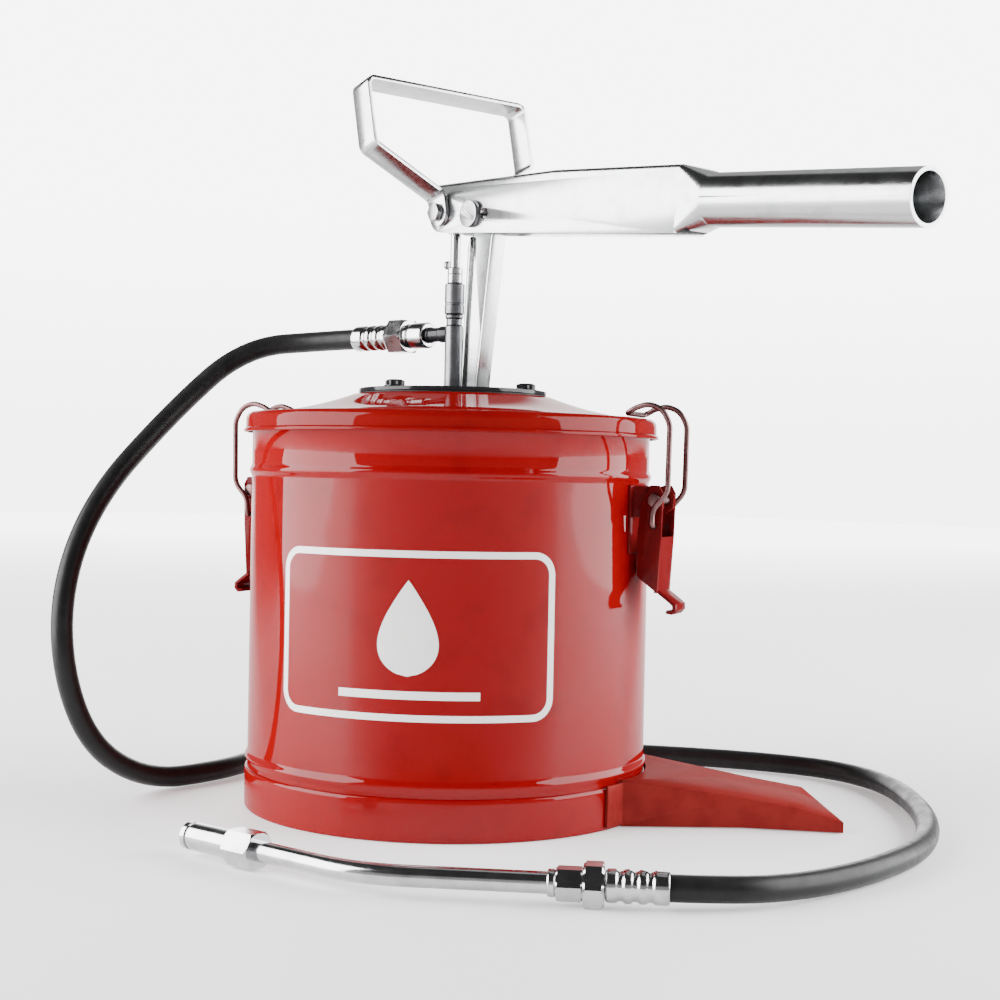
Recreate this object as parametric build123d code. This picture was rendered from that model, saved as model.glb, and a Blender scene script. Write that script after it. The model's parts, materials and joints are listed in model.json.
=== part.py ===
"""Lever-operated bucket pump for gear oil and soft grease, on a steel pail.

Millimetres. +Z up, +X along the pump lever towards its grip, origin at the centre of the pail's base
on the floor. A piston pump stands in the pail, bolted through the lid. Its rod rises out of a gland
and is worked by the lever, which rocks on a folded post. The oil leaves sideways through a hose that
lies round the pail and ends in a bent pipe with a snap-on coupler.
"""
import os
from math import cos, pi, radians, sin, tan

from build123d import *

# ---------------------------------------------------------------- driving sizes
PAIL_R = 120.0            # outside of the rolled wall
SHEET = 0.8               # pail and lid sheet
RIM_Z = 228.9             # top of the curled rim
LID_R = 124.0             # outside of the lid's skirt
LID_SKIRT_Z = 222.6
LID_RIM_Z = 234.5         # highest line of the lid's outer ring
LID_TOP_Z = 246.9         # flat in the middle of the lid, under the flange
PLATE_R, PLATE_T = 57.0, 2.6
GASKET_T = 1.0
PLATE_Z = LID_TOP_Z + GASKET_T + PLATE_T
BOLT_CIRCLE_R, BOLT_COUNT = 46.0, 3

BARREL_R, BARREL_BORE = 11.0, 8.5
RISER_R, RISER_BORE = 5.5, 4.0
ROD_R = 3.0
RUN = 0.05                # radial clearance of a running fit
PISTON_Z = 70.0           # foot of the piston, at the top of its stroke

ROD_EYE = (0.0, 357.0)    # bolt that joins the rod, the lever and the carrying handle (x, z)
FULCRUM = (30.0, 353.2)   # pin at the top of the post (x, z)
LEVER_SLOPE = 6.0         # how far the lever points down at rest, degrees
LEVER_SWING = 35.0        # how far it can be raised from rest, degrees
ROD_PER_RADIAN = 31.5     # travel of the rod for a radian of lever
LEVER_T = 2.0
LEVER_HALF = 11.3         # half the width over the lever's side walls
GRIP_R = 13.75
GRIP_START, GRIP_END = 189.4, 320.4

HANDLE_HALF = 59.5
HANDLE_TOP_Z = 433.8
HANDLE_LEAN = 13.0        # how far the carrying loop leans back at rest, degrees
STRAP_W, STRAP_T = 16.0, 2.6

LATCH_AZIMUTHS = {"right": 28.0, "left": 208.0}
LATCH_PIVOT = (134.0, 187.0)    # pin through bracket and toggle (radius, z)
BAIL_PIVOT = (134.0, 172.0)     # wire ends in the toggle (radius, z)
WIRE_R = 1.6
WIRE_HALF = 16.5

PEDAL_AZIMUTH = 42.0
OUTLET_AZIMUTH = 190.0
OUTLET_Z = 285.0

HOSE_R, HOSE_BORE = 6.5, 3.3
NOZZLE_Z = 10.3           # height of the discharge fittings, lying on the floor
# Corners of the hose's route from the outlet ferrule to the discharge ferrule (x, y, z), chosen by hand.
HOSE_ROUTE = [
    (-57.1, -10.1, 285.0), (-111.3, -19.6, 285.0), (-146.3, -61.3, 280.0), (-156.2, -107.6, 236.0),
    (-134.0, -174.5, 176.0), (-109.7, -205.3, 110.0), (-111.4, -187.7, 40.0), (-123.1, -140.1, 7.0),
    (-130.8, -80.5, 7.0), (-162.9, -30.0, 7.0), (-168.3, 29.2, 7.0), (-141.4, 91.5, 7.0),
    (-83.7, 150.0, 7.0), (-22.0, 205.0, 7.0), (28.0, 240.0, 7.0), (80.0, 262.0, 7.0),
    (130.0, 254.0, 7.0), (183.0, 217.0, 7.0), (233.0, 168.0, 7.0), (270.0, 112.0, 7.0),
    (287.0, 52.0, 7.0), (289.0, -2.0, 7.0), (283.3, -49.9, NOZZLE_Z), (249.2, -83.7, NOZZLE_Z)]
NOZZLE_BEND = (159.6, -172.6)   # corner of the discharge pipe (x, y)
NOZZLE_TIP = (42.7, -196.8)     # open end of the coupler (x, y)


# ---------------------------------------------------------------- helpers
def turned(points):
    """Solid of revolution about Z from a closed outline of (radius, z) points."""
    return revolve(Plane.XZ * make_face(Polyline(*points, close=True)), Axis.Z)


def ring(outer, inner, z_low, z_high):
    return turned([(inner, z_low), (outer, z_low), (outer, z_high), (inner, z_high)])


def disc(radius, z_low, z_high):
    return turned([(0, z_low), (radius, z_low), (radius, z_high), (0, z_high)])


def side_plate(outline, y_low, y_high):
    """Plate standing in the X-Z plane, from an outline of (x, z) points."""
    start = Plane(origin=(0, y_high, 0), x_dir=(1, 0, 0), z_dir=(0, -1, 0))
    return extrude(start * make_face(Polyline(*outline, close=True)), y_high - y_low)


def bar(start, end, radius):
    """Round bar between two points."""
    axis = Vector(*end) - Vector(*start)
    return extrude(Plane(origin=start, z_dir=axis) * Circle(radius), axis.length)


def hex_bar(start, end, across_flats, turn=0.0):
    """Hexagonal bar between two points; it stands on a flat when the bar is level and turn is 0."""
    axis = Vector(*end) - Vector(*start)
    level = abs(axis.Z) < 0.9 * axis.length
    across = Vector(0, 0, 1).cross(axis) if level else Vector(1, 0, 0)
    shape = Rot(0, 0, turn) * RegularPolygon(across_flats / 3 ** 0.5, 6)
    return extrude(Plane(origin=start, x_dir=across, z_dir=axis) * shape, axis.length)


def hex_nut(start, end, across_flats, bevel=1.2):
    """Hexagonal bar with its corners turned off at both ends, as a nut's are."""
    blank = bar(start, end, across_flats / 3 ** 0.5)
    return hex_bar(start, end, across_flats) & chamfer(blank.edges(), bevel)


def tube(start, end, outer, inner):
    axis = (Vector(*end) - Vector(*start)).normalized()
    past = [tuple(Vector(*start) - axis), tuple(Vector(*end) + axis)]
    return bar(start, end, outer) - bar(past[0], past[1], inner)


def y_bar(x, z, radius, y_low, y_high):
    return bar((x, y_low, z), (x, y_high, z), radius)


def around(shape, azimuth):
    return Rot(0, 0, azimuth) * shape


def group(shapes):
    """Identical loose pieces that share one node."""
    return Compound(children=[shape for shape in shapes])


def polar(radius, azimuth, z):
    return (radius * cos(radians(azimuth)), radius * sin(radians(azimuth)), z)


def coil(radius, wire, z_low, z_high, turns):
    """Compression spring standing on Z."""
    path = Helix(pitch=(z_high - z_low) / turns, height=z_high - z_low, radius=radius)
    return Pos(0, 0, z_low) * sweep(Plane(origin=path @ 0, z_dir=path % 0) * Circle(wire), path=path)


# ---------------------------------------------------------------- pail and lid
def pail_shell():
    """Rolled wall with two swaged beads and a curled rim."""
    low, bead = 9.0, 1.4
    outside = [(PAIL_R, low)]
    for z in (30.0, 200.0):
        outside += [(PAIL_R, z - 3.5), (PAIL_R + bead, z - 1.2), (PAIL_R + bead, z + 1.2), (PAIL_R, z + 3.5)]
    outside += [(PAIL_R, RIM_Z - 1.9)]
    inside = [(r - SHEET, z) for r, z in reversed(outside)]
    wall = turned(outside + inside)
    curl_r = 1.9
    curl = revolve(Plane.XZ * Pos(PAIL_R + 1.0, RIM_Z - curl_r) * Circle(curl_r), Axis.Z)
    return wall + curl


def pail_base():
    """Deep base pan: its skirt is the band that stands on the floor round the foot of the wall."""
    skirt_in = PAIL_R + 0.05
    return turned([
        (0, 7.6), (113, 7.6), (117.5, 5.0), (117.5, 1.2), (118.7, 0), (120.3, 0), (121.5, 1.2), (121.5, 24.0),
        (skirt_in, 24.0), (skirt_in, 8.6), (PAIL_R - 0.2, 8.6), (PAIL_R - 1.4, 8.6), (0, 8.6)])


def foot_pedal():
    """Pressed step welded to the base band: hollow tread sloping to a slanted end, and curved weld wings."""
    t = 2.0
    stations = [(112.0, 50.0, 27.0), (180.0, 36.0, 18.0), (214.0, 36.0, 13.0), (244.0, 36.0, 5.0)]

    def wedge(shrink):
        frames = [Plane.YZ.offset(x) * Rectangle(2 * (half - shrink), 2 * (z - shrink)) for x, half, z in stations]
        return loft(frames, ruled=True)

    def beyond(inset):
        corners = [(201.3 - inset, 80.0), (249.5 - inset, -75.0), (320.0, -75.0), (320.0, 80.0)]
        return Pos(0, 0, -5) * extrude(make_face(Polyline(*corners, close=True)), 60)

    keep = Pos(200, 0, 50.6) * Box(240, 200, 100)
    step = ((wedge(0) - beyond(0)) - (wedge(t) - beyond(t))) & keep
    wings = None
    for side in (1, -1):
        band = ring(123.4, 121.55, 2.0, 25.5)
        sector = Rot(0, 0, side * 26.6) * Pos(122, 0, 14) * Box(16, 19, 40)
        wing = band & sector
        wings = wing if wings is None else wings + wing
    step = step - disc(121.55, -5, 60)
    return around(step + wings, PEDAL_AZIMUTH)


def lid():
    """Pressed lid: skirt over the rim, flat ring for the latches, hollow-backed cone up to the flange."""
    dome = [(114.0, LID_RIM_Z), (105.0, 235.3), (90.0, 238.4), (76.0, 242.2), (66.0, 245.4), (60.0, LID_TOP_Z)]
    hole = 15.0
    outside = [(LID_R + 1.2, LID_SKIRT_Z), (LID_R + 1.2, LID_SKIRT_Z + 1.4), (LID_R, LID_SKIRT_Z + 2.4),
               (LID_R, 231.2), (LID_R - 0.9, 233.6), (LID_R - 3.0, LID_RIM_Z)] + dome + [(hole, LID_TOP_Z)]
    inside = [(hole, LID_TOP_Z - SHEET)] + [(r - 0.15, z - SHEET) for r, z in reversed(dome)]
    inside += [(LID_R - 3.2, LID_RIM_Z - SHEET), (LID_R - SHEET, 231.0), (LID_R - SHEET, LID_SKIRT_Z)]
    shell = turned(outside + inside)
    for hole_at in bolt_places():
        shell -= Pos(*hole_at, LID_TOP_Z) * Cylinder(3.3, 6)
    return shell


def bolt_places():
    step = 360 / BOLT_COUNT
    return [polar(BOLT_CIRCLE_R, 275 + step * i, 0)[:2] for i in range(BOLT_COUNT)]


def flange(radius, z_low, z_high, bore):
    plate = ring(radius, bore, z_low, z_high)
    for hole_at in bolt_places():
        plate -= Pos(*hole_at, (z_low + z_high) / 2) * Cylinder(3.3, z_high - z_low + 2)
    return plate


def flange_bolt(x, y):
    low = LID_TOP_Z - SHEET
    head = hex_bar((x, y, PLATE_Z + 0.02), (x, y, PLATE_Z + 3.8), 10.0)
    return head + bar((x, y, low - 7.5), (x, y, PLATE_Z + 0.02), 2.95)


def flange_nut(x, y):
    low = LID_TOP_Z - SHEET
    body = hex_bar((x, y, low - 5.6), (x, y, low - 0.6), 10.0)
    return body - bar((x, y, low - 9), (x, y, low), 3.0)


# ---------------------------------------------------------------- pump
SPRING_PIN_Z = 42.4


def barrel_head():
    """Steel plug under the flange: carries the riser above and the barrel below."""
    low = 226.0
    body = turned([(RISER_R + 0.02, low), (BARREL_BORE - 0.02, low), (BARREL_BORE - 0.02, 234.0), (14.0, 234.0),
                   (14.0, PLATE_Z - PLATE_T - 0.05), (RISER_R + 0.02, PLATE_Z - PLATE_T - 0.05)])
    return body


def piston():
    """Piston cage on the rod's end, with a seat for its ball and a groove for the seal ring."""
    skirt = BARREL_BORE - RUN
    body = turned([
        (2.4, 0), (skirt, 0), (skirt, 3.0), (7.0, 3.0), (7.0, 7.0), (skirt, 7.0), (skirt, 11.0), (6.4, 13.0),
        (6.4, 24.0), (ROD_R + 0.02, 24.0), (ROD_R + 0.02, 16.5), (4.6, 15.0), (4.6, 6.5), (2.4, 4.3)])
    for turn in (0, 90):
        body -= Rot(0, 0, turn) * Pos(0, 0, 13.2) * Box(20, 2.6, 3.2)
    return Pos(0, 0, PISTON_Z) * body


def barrel_tube():
    """Honed barrel, cross-drilled for the pin that holds the foot valve's spring."""
    return ring(BARREL_R, BARREL_BORE, 24.0, 233.9) - bar((-20, 0, SPRING_PIN_Z), (20, 0, SPRING_PIN_Z), 0.92)


def foot_valve():
    """Inlet seat screwed into the foot of the barrel, with a hexagon to turn it."""
    low = 17.0
    body = turned([(3.2, low), (10.5, low), (10.5, 23.9), (BARREL_BORE - 0.02, 23.9), (BARREL_BORE - 0.02, 36.0),
                   (6.2, 36.0), (6.2, 28.6), (3.2, 25.6)])
    return body & hex_bar((0, 0, low - 1), (0, 0, 37), 19.0)


def strainer():
    """Slotted cup under the inlet."""
    cup = turned([(0, 10.6), (9.2, 10.6), (9.2, 16.95), (8.2, 16.95), (8.2, 11.6), (0, 11.6)])
    for turn in range(0, 180, 30):
        cup -= Rot(0, 0, turn) * Pos(0, 0, 14.0) * Box(30, 1.8, 3.0)
    return cup


def riser():
    body = ring(RISER_R, RISER_BORE, 226.0, 296.0) + ring(4.55, RISER_BORE, 296.0, 297.4)
    neck = ring(RISER_R + 1, RISER_R - 0.9, 290.0, 294.0)
    port = bar(polar(0, OUTLET_AZIMUTH, OUTLET_Z), polar(12, OUTLET_AZIMUTH, OUTLET_Z), 2.4)
    return body - neck - port


def gland_nut():
    """Sleeve nut that squeezes the packing round the rod."""
    return turned([(ROD_R + 0.35, 315.4), (ROD_R + 0.35, 311.0), (4.6, 311.0), (4.6, 297.0),
                   (5.2, 296.4), (6.0, 297.2), (6.0, 314.4), (5.0, 315.4)])


def post():
    """Folded channel that carries the fulcrum: its open side faces -Y, with a narrow lip beside the riser."""
    depth, t = 5.0, 2.0
    foot_z, shoulder_z = PLATE_Z, 346.0
    left_low, left_high = 6.3, 11.8
    right_low, right_high = 29.5, 43.2
    web = side_plate([(left_low, foot_z), (right_low, foot_z), (right_high - 1.0, shoulder_z - 6),
                      (right_high, shoulder_z), (37.0, 360.6), (24.0, 361.2), (18.0, 352.6),
                      (left_high + 1.0, shoulder_z), (left_high, shoulder_z - 12)], depth - t, depth)
    left = side_plate([(left_low, foot_z), (left_low + t, foot_z), (left_high + t, shoulder_z - 12),
                       (left_high + t, shoulder_z - 3), (left_high, shoulder_z - 8)], 0.5, depth)
    right = side_plate([(right_low - t, foot_z), (right_low, foot_z), (right_high - 1.0, shoulder_z - 6),
                        (right_high, shoulder_z), (right_high - t, shoulder_z), (right_high - t - 1, shoulder_z - 6)],
                       -depth, depth)
    bore = y_bar(*FULCRUM, 6.52, -20, 20)
    return web + left + right - bore


def pivot_bush():
    return y_bar(*FULCRUM, 6.5, -8.9, 8.9) - y_bar(*FULCRUM, 4.0 + RUN, -10, 10)


# ---------------------------------------------------------------- lever, rod head and carrying handle
def lever_place(shape):
    """From the lever's own frame (X along it, fulcrum at the origin) to its rest position."""
    return Pos(FULCRUM[0], 0, FULCRUM[1]) * Rot(0, LEVER_SLOPE, 0) * shape


def lever_arm():
    """Channel open underneath that closes into a round hollow grip."""
    root, mouth = -42.1, 171.4

    def skin(grow, start, end, low_root, low_end, top_root, top_mid, top_end):
        half = LEVER_HALF - grow
        body = side_plate([(start, low_root), (end, low_end), (end, top_end), (71.4, top_mid), (start, top_root)],
                          -half, half)
        return body

    outer = skin(0, root, mouth, -11.0, -10.0, 17.6, 24.4, 25.0)
    nose = outer.edges().filter_by(Axis.Y).group_by(Axis.X)[0]
    outer = fillet(nose.sort_by(Axis.Z)[0], 11.8)
    inner = skin(LEVER_T, root - 5, mouth + 1, -34.0, -34.0, 17.3 - LEVER_T, 24.4 - LEVER_T, 25.0 - LEVER_T)
    channel = outer - inner

    grip_z = 7.6
    section = Plane.YZ.offset(mouth) * Pos(0, 7.5) * RectangleRounded(2 * LEVER_HALF, 35.0, 3.0)
    round_end = Plane.YZ.offset(GRIP_START) * Pos(0, grip_z) * RectangleRounded(2 * GRIP_R, 2 * GRIP_R, GRIP_R - 0.02)
    neck = loft([section, round_end])
    t = LEVER_T
    section_in = Plane.YZ.offset(mouth) * Pos(0, 7.5) * RectangleRounded(2 * LEVER_HALF - 2 * t, 35.0 - 2 * t, 2.0)
    bore_r = GRIP_R - t
    round_in = Plane.YZ.offset(GRIP_START) * Pos(0, grip_z) * RectangleRounded(2 * bore_r, 2 * bore_r, bore_r - 0.02)
    neck = neck - loft([section_in, round_in])
    neck = neck - Pos(mouth + 2.5, 0, -8.0) * Box(9, 2 * (LEVER_HALF - t), 12)
    grip = bar((GRIP_START, 0, grip_z), (GRIP_END, 0, grip_z), GRIP_R)
    grip -= bar((GRIP_START - 1, 0, grip_z), (GRIP_END + 1, 0, grip_z), bore_r)
    arm = channel + neck + grip

    # Slot for the rod's bolt, which shifts a little along the lever as the lever swings.
    slot, steps = None, 8
    for i in range(steps + 1):
        swing = radians(LEVER_SWING * i / steps)
        tilt = radians(LEVER_SLOPE) - swing
        x, z = ROD_EYE[0] - FULCRUM[0], ROD_EYE[1] - FULCRUM[1] - ROD_PER_RADIAN * swing
        bite = y_bar(x * cos(tilt) - z * sin(tilt), x * sin(tilt) + z * cos(tilt), 3.6, -20, 20)
        slot = bite if slot is None else slot + bite
    pin_hole = y_bar(0, 0, 4.03, -20, 20)
    spare_hole = y_bar(11.8, 0.3, 3.6, -20, 0)
    return lever_place(arm - slot - pin_hole - spare_hole)


def lever_pin():
    """Headed fulcrum pin with a groove for its ring."""
    x, z = FULCRUM
    pin = y_bar(x, z, 4.0, -11.35, 15.0) + y_bar(x, z, 8.0, -14.4, -11.35)
    groove = y_bar(x, z, 6.0, 11.9, 13.0) - y_bar(x, z, 3.3, 11.0, 14.0)
    head_slot = Pos(x, -14.6, z) * Rot(0, 35, 0) * Box(13, 1.4, 1.8)
    return pin - groove - head_slot


def pin_ring():
    x, z = FULCRUM
    loop = y_bar(x, z, 6.6, 12.0, 12.9) - y_bar(x, z, 3.35, 11.5, 13.5)
    return loop - Pos(x, 12.4, z - 6) * Box(3.2, 3, 7)


def rod_eye():
    """Forged eye screwed on the rod's top, a loose fit between the lever's walls."""
    x, z = ROD_EYE
    boss = y_bar(x, z, 7.0, -8.6, 8.6)
    shank = bar((0, 0, z - 11.5), (0, 0, z - 5.0), 4.6)
    return boss + shank - bar((0, 0, z - 18.0), (0, 0, z - 4.58), ROD_R) - y_bar(x, z, 3.02, -20, 20)


def rod_bolt():
    x, z = ROD_EYE
    head = hex_bar((x, -18.0, z), (x, -14.55, z), 10.0, 0)
    return head + y_bar(x, z, 3.0, -14.55, 20.6)


def rod_nut():
    x, z = ROD_EYE
    return hex_bar((x, 14.55, z), (x, 19.4, z), 10.0, 0) - y_bar(x, z, 3.02, 10, 25)


def carry_handle():
    """Steel strap bent to a loop across the lever, hung on the rod's bolt by two ears."""
    x, z = ROD_EYE
    ear_y, ear_top = 12.9, 367.0
    shoulder_z = 392.9
    half = HANDLE_HALF
    line = [(-ear_y, z), (-ear_y, ear_top), (-half, shoulder_z), (-half, HANDLE_TOP_Z), (half, HANDLE_TOP_Z),
            (half, shoulder_z), (ear_y, ear_top), (ear_y, z)]
    path = FilletPolyline(*[(y, zz) for y, zz in line], radius=5.0)
    strip = path.wires()[0].offset_2d(STRAP_T / 2, kind=Kind.INTERSECTION)
    strap = extrude(Plane.YZ.offset(-STRAP_W / 2) * make_face(strip.edges()), STRAP_W)
    ears = None
    for side in (1, -1):
        low, high = sorted((side * (ear_y - STRAP_T / 2), side * (ear_y + STRAP_T / 2)))
        ear = y_bar(x, z, STRAP_W / 2, low, high)
        ears = ear if ears is None else ears + ear
    trim = Pos(0, 0, z - 20) * Box(60, 80, 40)
    handle = (strap - trim) + ears - y_bar(x, z, 3.0 + RUN, -30, 30)
    return Pos(x, 0, z) * Rot(0, -HANDLE_LEAN, 0) * Pos(-x, 0, -z) * handle


# ---------------------------------------------------------------- latches
def latch_bracket():
    """Saddle welded to the wall, with two ears for the toggle's pin. Drawn at azimuth 0."""
    saddle = ring(121.5, PAIL_R + 0.05, 156.0, 195.4) & (Pos(121, 0, 175) * Box(12, 30, 60))
    ears = None
    for side in (1, -1):
        outline = [(120.9, 177.0), (131.0, 177.0), (138.5, 182.0), (139.2, 190.0), (135.0, 195.0), (120.9, 195.0)]
        low, high = sorted((side * 9.0, side * 10.6))
        ear = side_plate(outline, low, high)
        ears = ear if ears is None else ears + ear
    r, z = LATCH_PIVOT
    return saddle + ears - y_bar(r, z, 2.52, -20, 20) - disc(PAIL_R + 0.05, 100, 220)


def latch_pin():
    r, z = LATCH_PIVOT
    return y_bar(r, z, 2.5, -13.4, 13.4) + y_bar(r, z, 3.8, -14.4, -12.9) + y_bar(r, z, 3.8, 12.9, 14.4)


def toggle():
    """Channel toggle with a curled finger tail. Drawn at azimuth 0."""
    cheeks = None
    outline = [(124.3, 143.5), (127.0, 141.2), (136.4, 134.0), (138.4, 166.0), (139.0, 191.0), (136.5, 195.5),
               (131.5, 195.5), (126.0, 184.0), (124.3, 168.0)]
    for side in (1, -1):
        low, high = sorted((side * 11.0, side * 12.6))
        cheek = side_plate(outline, low, high)
        cheeks = cheek if cheeks is None else cheeks + cheek
    front = side_plate([(134.8, 134.0), (136.4, 134.0), (138.4, 166.0), (136.8, 166.0)], -12.6, 12.6)
    tail = side_plate([(124.3, 142.2), (125.6, 143.4), (143.6, 130.4), (146.8, 127.8), (147.0, 124.4), (144.6, 121.8),
                       (141.0, 122.4), (141.4, 124.2), (144.0, 123.8), (145.0, 125.0), (144.9, 127.0),
                       (142.6, 128.8)], -9.5, 9.5)
    bridge = side_plate([(126.0, 141.8), (127.2, 143.0), (136.2, 136.2), (135.4, 134.8)], -12.6, 12.6)
    r, z = LATCH_PIVOT
    holes = y_bar(r, z, 2.5 + RUN, -20, 20) + y_bar(*BAIL_PIVOT, WIRE_R + RUN, -20, 20)
    return cheeks + front + tail + bridge - holes


def bail():
    """Wire loop: its ends hook into the toggle and its bridge bears on the lid's ring."""
    r, z = BAIL_PIVOT
    bridge_z = LID_RIM_Z + WIRE_R + 0.5
    leg = [(r, z), (r, 181.5), (143.0, 191.5), (143.6, 230.5), (139.0, 239.0), (130.5, 242.0), (123.0, 239.6),
           (117.6, bridge_z)]
    wire = None
    for side in (1, -1):
        points = [(r, side * 11.2, z)] + [(a, side * WIRE_HALF, b) for a, b in leg] + [(117.6, 0, bridge_z)]
        path = FilletPolyline(*points, radius=3.2)
        start = Plane(origin=path @ 0, z_dir=path % 0)
        half = sweep(start * Circle(WIRE_R), path=path)
        wire = half if wire is None else wire + half
    return wire


# ---------------------------------------------------------------- hose and its fittings
def hose_path():
    """Straight runs joined by tangent arcs; each arc is as large as its corner allows."""
    points = [Vector(*p) for p in HOSE_ROUTE]
    radii = []
    for before, here, after in zip(points, points[1:], points[2:]):
        turn = radians((here - before).get_angle(after - here))
        shorter = min((here - before).length, (after - here).length)
        radii.append(0.45 * shorter / tan(turn / 2))
    edges = []
    last = points[0]
    for (before, here, after), radius in zip(zip(points, points[1:], points[2:]), radii):
        inward, outward = (here - before).normalized(), (after - here).normalized()
        turn = radians(inward.get_angle(outward))
        setback = radius * tan(turn / 2)
        start, end = here - inward * setback, here + outward * setback
        edges.append(Line(last, start))
        edges.append(TangentArc(start, end, tangent=inward))
        last = end
    edges.append(Line(last, points[-1]))
    print("hose arc radii:", " ".join(f"{r:.0f}" for r in radii))
    return Wire([edge.edge() if hasattr(edge, "edge") else edge for edge in edges])


def hose():
    path = hose_path()
    start = Plane(origin=path @ 0, z_dir=path % 0)
    body = sweep(start * (Circle(HOSE_R) - Circle(HOSE_BORE)), path=path)
    section = pi * (HOSE_R ** 2 - HOSE_BORE ** 2)
    low = body.bounding_box().min.Z
    print(f"hose length {path.length:.0f}, volume / (section x length) {body.volume / section / path.length:.4f}")
    print(f"hose lowest point {low:.2f}")
    return body


def ferrule(start, direction, length=30.0):
    """Crimped sleeve: three pressed rings, bored for the hose. It opens towards the hose at its far end."""
    def at(d):
        return tuple(Vector(*start) + direction * d)
    body = tube(at(0), at(length), 8.0, HOSE_R + 0.04)
    for d in (6.0, 13.0, 20.0):
        body -= tube(at(d), at(d + 2.6), 9.0, 7.3)
    return body


OUT_DIR = Vector(cos(radians(OUTLET_AZIMUTH)), sin(radians(OUTLET_AZIMUTH)), 0)


def along_outlet(distance):
    return tuple(OUT_DIR * distance + Vector(0, 0, OUTLET_Z))


def outlet_nipple():
    saddle = tube(along_outlet(3.0), along_outlet(20.9), 5.0, 2.4)
    return saddle - bar((0, 0, OUTLET_Z - 12), (0, 0, OUTLET_Z + 12), RISER_R + 0.02)


def outlet_coupler():
    body = bar(along_outlet(21.0), along_outlet(36.9), 8.0)
    body += bar(along_outlet(36.9), along_outlet(80.0), 3.2)
    return body - bar(along_outlet(20), along_outlet(81), 1.9)


def outlet_swivel_nut():
    return hex_bar(along_outlet(37.0), along_outlet(51.6), 20.0) - bar(along_outlet(30), along_outlet(60), 3.25)


BEND = Vector(*NOZZLE_BEND, NOZZLE_Z)
HOSE_END = Vector(*HOSE_ROUTE[-1])
PIPE_DIR = (HOSE_END - BEND).normalized()
TIP = Vector(*NOZZLE_TIP, NOZZLE_Z)
TIP_DIR = (TIP - BEND).normalized()
FERRULE_MOUTH = HOSE_END + PIPE_DIR * 22.0
PIPE_R = 5.25


def from_mouth(distance):
    """A point on the discharge line, measured back from the mouth of its ferrule."""
    return tuple(FERRULE_MOUTH - PIPE_DIR * distance)


def from_tip(distance):
    return tuple(TIP - TIP_DIR * distance)


def nozzle_swivel_nut():
    return hex_bar(from_mouth(30.2), from_mouth(40.2), 20.0) - bar(from_mouth(25), from_mouth(50), 3.25)


def nozzle_adapter():
    """Hexagon and collar between the swivel nut and the pipe, with the tail that the hose is crimped on."""
    body = hex_bar(from_mouth(40.3), from_mouth(53.0), 15.0)
    body += bar(from_mouth(53.0), from_mouth(57.0), 6.6)
    body += bar(from_mouth(6.0), from_mouth(40.3), 3.2)
    body -= bar(from_mouth(5.0), from_mouth(60.0), 1.9)
    return body - bar(from_mouth(49.0), from_mouth(60.0), PIPE_R + 0.02)


def nozzle_pipe():
    path = FilletPolyline(Vector(*from_mouth(49.2)), BEND, Vector(*from_tip(38.0)), radius=85.0)
    start = Plane(origin=path @ 0, z_dir=path % 0)
    return sweep(start * (Circle(PIPE_R) - Circle(3.6)), path=path)


def coupler_nut():
    body = hex_nut(from_tip(34.0), from_tip(53.0), 17.5)
    return body - bar(from_tip(33.0), from_tip(54.0), PIPE_R + 0.02)


def coupler_body():
    """Push-on sleeve: mouth, jaw chamber and a shoulder for the nut."""
    body = bar(from_tip(0), from_tip(33.9), 7.2) - bar(from_tip(25.0), from_tip(35.0), 3.6)
    body -= bar(from_tip(-1.0), from_tip(8.0), 3.4)
    body -= bar(from_tip(7.9), from_tip(25.1), 5.6)
    return body - tube(from_tip(3.0), from_tip(5.0), 9.0, 6.5)


def coupler_jaws():
    """Three sprung segments that grip the nipple."""
    jaws = []
    sleeve = tube(from_tip(8.4), from_tip(17.0), 5.4, 3.3)
    base = Plane(origin=from_tip(8.0), z_dir=-TIP_DIR)
    for i in range(3):
        sector = make_face(Polyline((0, 0), polar(12, 120 * i + 4, 0)[:2], polar(24, 120 * i + 60, 0)[:2],
                                    polar(12, 120 * i + 116, 0)[:2], close=True))
        jaws.append(sleeve & extrude(base * sector, 12))
    return group(jaws)


def coupler_seal():
    return tube(from_tip(17.3), from_tip(20.3), 5.4, 1.8)


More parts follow.
